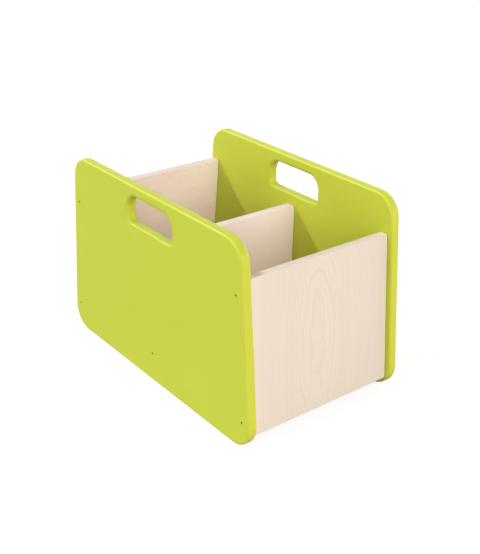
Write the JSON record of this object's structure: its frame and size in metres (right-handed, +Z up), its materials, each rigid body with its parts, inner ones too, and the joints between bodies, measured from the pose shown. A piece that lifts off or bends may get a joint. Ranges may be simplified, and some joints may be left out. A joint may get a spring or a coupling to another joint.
{
  "type": "picture book browser bin",
  "caption": "Low open-topped picture book bin: leaning end boards and an upright divider between lacquered side panels with hand holes.",
  "frame": {"origin": "on the floor, in the middle of the bin's footprint", "axes": "+Z up, +X across the bin from the left side panel to the right one, +Y from the front board to the rear board"},
  "size_m": [0.392, 0.6458, 0.42],
  "materials": {
    "green_lacquer": "satin opaque lime green lacquer on board",
    "birch_plywood": "satin clear lacquer on birch plywood",
    "screw": "steel screw with its head painted to match the side panel",
    "beech_dowel": "bare grooved beech"
  },
  "bodies": {
    "root": {"side_panel_left": "green_lacquer", "side_panel_right": "green_lacquer", "front_board": "birch_plywood", "rear_board": "birch_plywood", "middle_divider": "birch_plywood", "base_board": "birch_plywood", "front_board_screws": "screw", "rear_board_screws": "screw", "middle_divider_screws": "screw", "front_board_dowels": "beech_dowel", "rear_board_dowels": "beech_dowel", "middle_divider_dowels": "beech_dowel", "base_board_dowels": "beech_dowel"}
  },
  "joints": []
}
